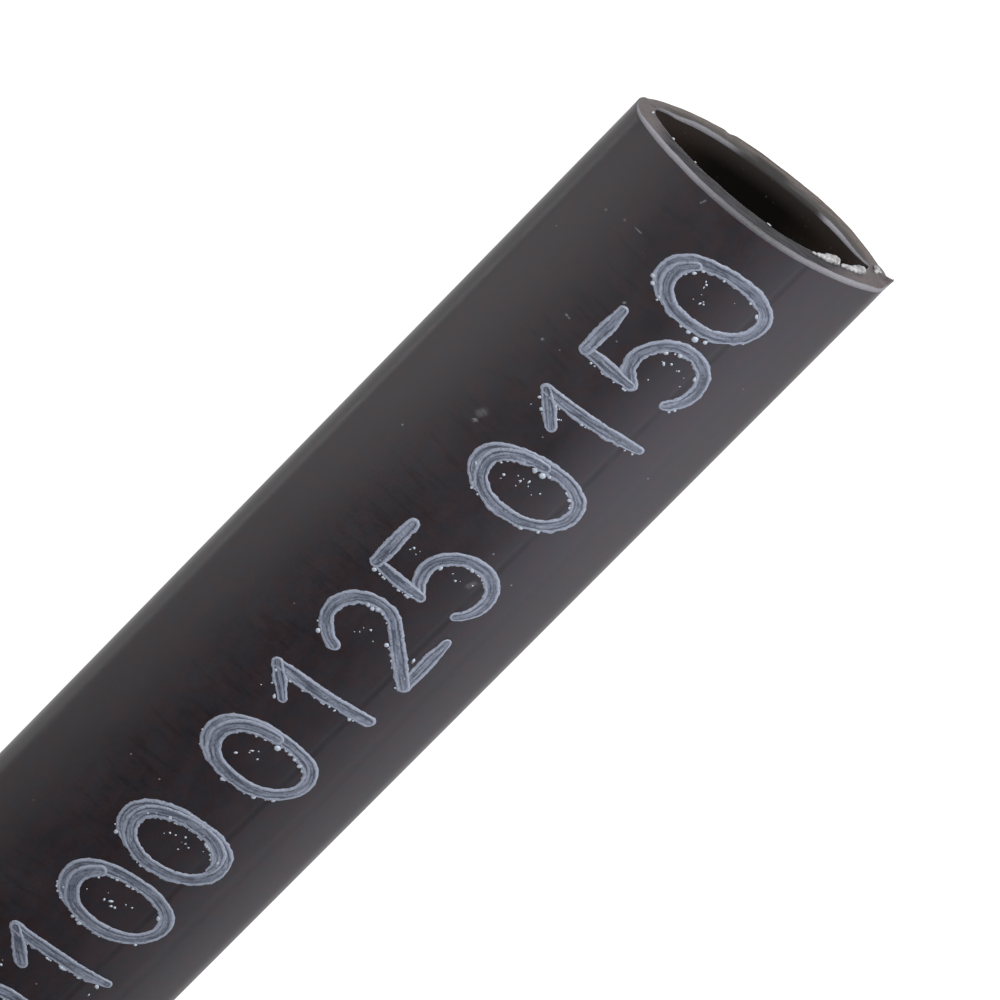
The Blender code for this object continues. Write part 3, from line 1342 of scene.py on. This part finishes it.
def hang_lamps(settings):
    """One large lamp lights all from beyond the open end, and small ones give the skin its sheen."""
    hang_lamp(
        "front_lamp",
        aim=(0.04, 0, 0.004),
        way=(0.80, -0.20, 0.56),
        distance=0.5,
        size=0.2,
        power=settings.front_power,
    )
    for angle, distance, size, milliwatts, tint in SIDE_LAMPS:
        turned = math.radians(angle)
        way = (MIRROR_ALONG, MIRROR_ACROSS * math.sin(turned), MIRROR_ACROSS * math.cos(turned))
        power = milliwatts / 1000 * settings.side_power
        hang_lamp("side_lamp", SIDE_AIM, way, distance, size, power, tint)


# The picture's width and height in pixels, and the camera's sensor in millimetres.
FRAME = 1000
SENSOR = 36


def place_camera(settings, tube):
    """Looks along the photograph's direction, with the open end's middle at its place in the frame."""
    level_share = math.cos(settings.elevation)
    back = Vector(
        (
            level_share * math.cos(settings.azimuth),
            level_share * math.sin(settings.azimuth),
            math.sin(settings.elevation),
        )
    )
    level = Vector((0, 0, 1)).cross(back).normalized()
    rise = back.cross(level)
    right = level * math.cos(settings.roll) + rise * math.sin(settings.roll)
    up = rise * math.cos(settings.roll) - level * math.sin(settings.roll)
    open_end = Vector((HALF_LENGTH, 0, tube.belly_drop))
    per_metre = settings.scale / MM
    across = (settings.end_across - FRAME / 2) / per_metre
    down = (settings.end_down - FRAME / 2) / per_metre
    aim = open_end - right * across + up * down
    distance = settings.lens / SENSOR * FRAME / per_metre
    data = bpy.data.cameras.new("photo_view")
    data.lens = settings.lens
    data.sensor_width = SENSOR
    data.clip_end = 20
    camera = bpy.data.objects.new("photo_view", data)
    camera.location = aim + back * distance
    camera.rotation_euler = Matrix((right, up, back)).transposed().to_euler()
    bpy.context.scene.collection.objects.link(camera)
    bpy.context.scene.camera = camera


class HEATSHRINK_OT_set_stage(bpy.types.Operator):
    """Set the pale table, the soft light and the camera"""

    bl_idname = "heatshrink.set_stage"
    bl_label = "Set the stage"

    def execute(self, context):
        settings = context.scene.stage
        start_piece()
        bpy.ops.mesh.primitive_plane_add(size=TABLE_SIZE)
        floor = bpy.context.object
        floor.name = "white_table"
        floor.data.materials.append(floor_material(settings))
        floor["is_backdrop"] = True
        dark_room(settings)
        hang_lamps(settings)
        place_camera(settings, context.scene.tube)
        context.scene.view_settings.view_transform = "Standard"
        return {"FINISHED"}


class HEATSHRINK_PT_panel(bpy.types.Panel):
    """The steps of the tube, in order"""

    bl_idname = "HEATSHRINK_PT_panel"
    bl_label = "Heat shrink tube"
    bl_space_type = "VIEW_3D"
    bl_region_type = "UI"
    bl_category = "Tube"

    def draw(self, context):
        for group, steps in (
            (context.scene.tube, ("heatshrink.model_tube", "heatshrink.leave_swarf")),
            (context.scene.legend, ("heatshrink.print_legend",)),
            (context.scene.stage, ("heatshrink.set_stage",)),
        ):
            box = self.layout.box()
            for name in group.__annotations__:
                box.prop(group, name)
            for step in steps:
                box.operator(step)


CLASSES = (
    TubeSettings,
    LegendSettings,
    StageSettings,
    HEATSHRINK_OT_model_tube,
    HEATSHRINK_OT_print_legend,
    HEATSHRINK_OT_leave_swarf,
    HEATSHRINK_OT_set_stage,
    HEATSHRINK_PT_panel,
)


def register():
    for item in CLASSES:
        bpy.utils.register_class(item)
    bpy.types.Scene.tube = bpy.props.PointerProperty(type=TubeSettings)
    bpy.types.Scene.legend = bpy.props.PointerProperty(type=LegendSettings)
    bpy.types.Scene.stage = bpy.props.PointerProperty(type=StageSettings)


def unregister():
    del bpy.types.Scene.stage
    del bpy.types.Scene.legend
    del bpy.types.Scene.tube
    for item in reversed(CLASSES):
        bpy.utils.unregister_class(item)


def main():
    register()
    bpy.ops.heatshrink.model_tube()
    bpy.ops.heatshrink.print_legend()
    bpy.ops.heatshrink.leave_swarf()
    bpy.ops.heatshrink.set_stage()
    sizes = {"cad": CAD_BOX, "visual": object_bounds()}
    {name: [list(map(float, corner)) for corner in box] for name, box in sizes.items()}


if __name__ == "__main__":
    main()
